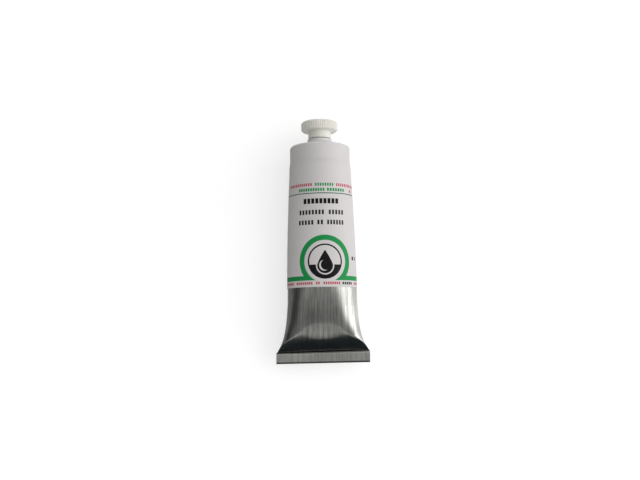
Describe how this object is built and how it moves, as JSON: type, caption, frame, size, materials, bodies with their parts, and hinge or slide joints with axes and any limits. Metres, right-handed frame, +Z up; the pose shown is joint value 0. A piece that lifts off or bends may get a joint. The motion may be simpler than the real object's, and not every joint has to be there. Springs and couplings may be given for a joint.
{
  "type": "paint tube",
  "caption": "Collapsible aluminium tube of artists' oil paint with a paper label, a folded end and a ribbed screw cap.",
  "frame": {"origin": "on the surface that the tube lies on, under the middle of its overall box", "axes": "+Y along the tube towards the cap, +Z up out of the front of the label, +X across the fold"},
  "size_m": [0.044, 0.1142, 0.0283],
  "materials": {
    "bare_aluminium": "brushed",
    "label_paper": "satin coated paper",
    "sealing_latex": "matte",
    "oil_paint": "wet gloss",
    "cap_plastic": "satin moulded",
    "liner_foam": "matte foam"
  },
  "bodies": {
    "tube": {"tube_shell": "bare_aluminium", "label": "label_paper", "end_sealant": "sealing_latex", "oil_paint": "oil_paint"},
    "liner": {"cap_liner": "liner_foam"},
    "cap": {"cap": "cap_plastic"}
  },
  "joints": [
    {"name": "cap_lift", "type": "slide", "parent": "tube", "child": "liner", "axis": [0, 1, 0], "range_m": [0, 0.01201]},
    {"name": "cap_turn", "type": "hinge", "parent": "liner", "child": "cap", "pos_m": [0, 0.05, 0.01416], "axis": [0, 1, 0], "range_deg": [0, 2880]}
  ],
  "couplings": [
    {"joint": "cap_lift", "follows": "cap_turn", "m_per_rad": 0.00023873}
  ]
}
